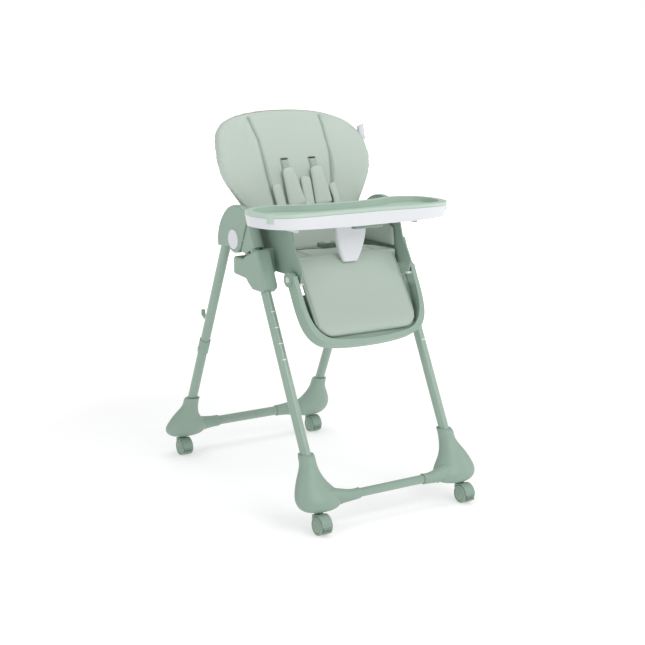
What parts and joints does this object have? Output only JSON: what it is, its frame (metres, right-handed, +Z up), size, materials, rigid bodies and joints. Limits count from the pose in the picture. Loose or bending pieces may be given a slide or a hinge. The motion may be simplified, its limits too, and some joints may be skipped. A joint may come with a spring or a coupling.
{
  "type": "baby high chair",
  "caption": "Folding A-frame baby high chair with padded reclining seat, sliding tray, crotch post, footrest and twin-wheel casters.",
  "frame": {"origin": "on the floor, midway between the feet, on the plane of symmetry", "axes": "+Z up, -Y is the front that the child faces, +X is across the chair"},
  "size_m": [0.6076, 0.8763, 1.053],
  "materials": {
    "cover": "soft synthetic leather",
    "webbing": "woven webbing",
    "white_plastic": "moulded, satin",
    "green_plastic": "moulded, satin",
    "tube_paint": "powder coat, semi gloss",
    "caster_tread": "moulded",
    "zinc": "zinc plated"
  },
  "bodies": {
    "front_frame": {"front_leg_left": "tube_paint", "front_leg_right": "tube_paint", "front_cross_tube": "tube_paint", "front_foot_left": "green_plastic", "front_foot_right": "green_plastic", "front_foot_screws": "zinc", "front_hub_left": "green_plastic", "front_hub_right": "green_plastic", "hub_pins": "zinc"},
    "rear_frame": {"rear_leg_upper_left": "tube_paint", "rear_leg_upper_right": "tube_paint", "rear_leg_lower": "tube_paint", "rear_leg_collars": "green_plastic", "rear_cross_tube": "tube_paint", "rear_foot_left": "green_plastic", "rear_foot_right": "green_plastic", "rear_foot_screws": "zinc", "rear_hub_left": "green_plastic", "rear_hub_right": "green_plastic", "tray_hooks": "green_plastic"},
    "seat": {"seat_shell": "green_plastic", "slider_housing_left": "green_plastic", "slider_housing_right": "green_plastic", "seat_cushion": "cover", "seat_side_pads": "cover", "lap_straps": "webbing", "buckle": "green_plastic"},
    "buckle_button": {"buckle_button": "green_plastic"},
    "backrest": {"backrest_shell": "green_plastic", "backrest_pad": "cover", "backrest_wings": "cover", "shoulder_straps": "webbing", "shoulder_pads": "cover"},
    "recline_lever": {"recline_lever": "green_plastic"},
    "footrest": {"footrest_frame": "green_plastic", "calf_pad": "cover"},
    "tray": {"tray_base": "white_plastic", "crotch_post": "white_plastic"},
    "tray_overlay": {"tray_overlay": "green_plastic"},
    "tray_latch": {"tray_latch": "green_plastic"},
    "hub_button_left": {"hub_button_left": "white_plastic"},
    "leg_snap_left": {"leg_snap_button_left": "green_plastic"},
    "height_lever_left": {"height_lever_left": "green_plastic"},
    "footrest_button_left": {"footrest_button_left": "white_plastic"},
    "hub_button_right": {"hub_button_right": "white_plastic"},
    "leg_snap_right": {"leg_snap_button_right": "green_plastic"},
    "height_lever_right": {"height_lever_right": "green_plastic"},
    "footrest_button_right": {"footrest_button_right": "white_plastic"},
    "caster_front_left": {"caster_hood_front_left": "green_plastic"},
    "wheels_front_left": {"caster_wheels_front_left": "caster_tread"},
    "brake_front_left": {"caster_brake_front_left": "green_plastic"},
    "caster_front_right": {"caster_hood_front_right": "green_plastic"},
    "wheels_front_right": {"caster_wheels_front_right": "caster_tread"},
    "brake_front_right": {"caster_brake_front_right": "green_plastic"},
    "caster_rear_left": {"caster_hood_rear_left": "green_plastic"},
    "wheels_rear_left": {"caster_wheels_rear_left": "caster_tread"},
    "brake_rear_left": {"caster_brake_rear_left": "green_plastic"},
    "caster_rear_right": {"caster_hood_rear_right": "green_plastic"},
    "wheels_rear_right": {"caster_wheels_rear_right": "caster_tread"},
    "brake_rear_right": {"caster_brake_rear_right": "green_plastic"}
  },
  "joints": [
    {"name": "fold", "type": "hinge", "parent": "front_frame", "child": "rear_frame", "pos_m": [0, 0.029, 0.719], "axis": [-1, 0, 0], "range_deg": [0, 46]},
    {"name": "seat_height", "type": "slide", "parent": "front_frame", "child": "seat", "axis": [0, -0.454, -0.891], "range_m": [0, 0.15], "deforming": ["backrest_wings"]},
    {"name": "recline", "type": "hinge", "parent": "seat", "child": "backrest", "pos_m": [0, 0.064, 0.702], "axis": [-1, 0, 0], "range_deg": [0, 34]},
    {"name": "recline_squeeze", "type": "slide", "parent": "backrest", "child": "recline_lever", "axis": [0, 0.6157, 0.788], "range_m": [0, 0.006], "stiffness_N_per_m": 900},
    {"name": "footrest_raise", "type": "hinge", "parent": "seat", "child": "footrest", "pos_m": [0, -0.182, 0.633], "axis": [-1, 0, 0], "range_deg": [-12, 55]},
    {"name": "tray_slide", "type": "slide", "parent": "seat", "child": "tray", "axis": [0, -1, 0], "range_m": [0, 0.06]},
    {"name": "overlay_lift", "type": "slide", "parent": "tray", "child": "tray_overlay", "axis": [0, 0, 1], "range_m": [0, 0.06]},
    {"name": "tray_latch_pull", "type": "slide", "parent": "tray", "child": "tray_latch", "axis": [0, -1, 0], "range_m": [0, 0.006], "stiffness_N_per_m": 600},
    {"name": "buckle_press", "type": "slide", "parent": "seat", "child": "buckle_button", "axis": [0, 0, -1], "range_m": [0, 0.002], "stiffness_N_per_m": 1500},
    {"name": "hub_button_left_press", "type": "slide", "parent": "rear_frame", "child": "hub_button_left", "axis": [1, 0, 0], "range_m": [0, 0.0035], "stiffness_N_per_m": 1500},
    {"name": "leg_snap_left_press", "type": "slide", "parent": "rear_frame", "child": "leg_snap_left", "axis": [1, 0, 0], "range_m": [0, 0.004], "stiffness_N_per_m": 800},
    {"name": "height_lever_left_squeeze", "type": "slide", "parent": "seat", "child": "height_lever_left", "axis": [0, 0, 1], "range_m": [0, 0.003], "stiffness_N_per_m": 1200},
    {"name": "footrest_button_left_press", "type": "slide", "parent": "footrest", "child": "footrest_button_left", "axis": [1, 0, 0], "range_m": [0, 0.003], "stiffness_N_per_m": 900},
    {"name": "hub_button_right_press", "type": "slide", "parent": "rear_frame", "child": "hub_button_right", "axis": [-1, 0, 0], "range_m": [0, 0.0035], "stiffness_N_per_m": 1500},
    {"name": "leg_snap_right_press", "type": "slide", "parent": "rear_frame", "child": "leg_snap_right", "axis": [-1, 0, 0], "range_m": [0, 0.004], "stiffness_N_per_m": 800},
    {"name": "height_lever_right_squeeze", "type": "slide", "parent": "seat", "child": "height_lever_right", "axis": [0, 0, 1], "range_m": [0, 0.003], "stiffness_N_per_m": 1200},
    {"name": "footrest_button_right_press", "type": "slide", "parent": "footrest", "child": "footrest_button_right", "axis": [-1, 0, 0], "range_m": [0, 0.003], "stiffness_N_per_m": 900},
    {"name": "caster_front_left_swivel", "type": "hinge", "parent": "front_frame", "child": "caster_front_left", "pos_m": [-0.234, -0.38853, 0.06], "axis": [0, 0, 1], "continuous": true},
    {"name": "caster_front_left_roll", "type": "hinge", "parent": "caster_front_left", "child": "wheels_front_left", "pos_m": [-0.234, -0.41053, 0.025], "axis": [1, 0, 0], "continuous": true},
    {"name": "caster_front_left_brake", "type": "hinge", "parent": "caster_front_left", "child": "brake_front_left", "pos_m": [-0.234, -0.43793, 0.0254], "axis": [-1, 0, 0], "range_deg": [0, 16]},
    {"name": "caster_front_right_swivel", "type": "hinge", "parent": "front_frame", "child": "caster_front_right", "pos_m": [0.234, -0.38853, 0.06], "axis": [0, 0, 1], "continuous": true},
    {"name": "caster_front_right_roll", "type": "hinge", "parent": "caster_front_right", "child": "wheels_front_right", "pos_m": [0.234, -0.41053, 0.025], "axis": [1, 0, 0], "continuous": true},
    {"name": "caster_front_right_brake", "type": "hinge", "parent": "caster_front_right", "child": "brake_front_right", "pos_m": [0.234, -0.43793, 0.0254], "axis": [-1, 0, 0], "range_deg": [0, 16]},
    {"name": "caster_rear_left_swivel", "type": "hinge", "parent": "rear_frame", "child": "caster_rear_left", "pos_m": [-0.234, 0.40528, 0.06], "axis": [0, 0, 1], "continuous": true},
    {"name": "caster_rear_left_roll", "type": "hinge", "parent": "caster_rear_left", "child": "wheels_rear_left", "pos_m": [-0.234, 0.38328, 0.025], "axis": [1, 0, 0], "continuous": true},
    {"name": "caster_rear_left_brake", "type": "hinge", "parent": "caster_rear_left", "child": "brake_rear_left", "pos_m": [-0.234, 0.35588, 0.0254], "axis": [-1, 0, 0], "range_deg": [0, 16]},
    {"name": "caster_rear_right_swivel", "type": "hinge", "parent": "rear_frame", "child": "caster_rear_right", "pos_m": [0.234, 0.40528, 0.06], "axis": [0, 0, 1], "continuous": true},
    {"name": "caster_rear_right_roll", "type": "hinge", "parent": "caster_rear_right", "child": "wheels_rear_right", "pos_m": [0.234, 0.38328, 0.025], "axis": [1, 0, 0], "continuous": true},
    {"name": "caster_rear_right_brake", "type": "hinge", "parent": "caster_rear_right", "child": "brake_rear_right", "pos_m": [0.234, 0.35588, 0.0254], "axis": [-1, 0, 0], "range_deg": [0, 16]}
  ]
}
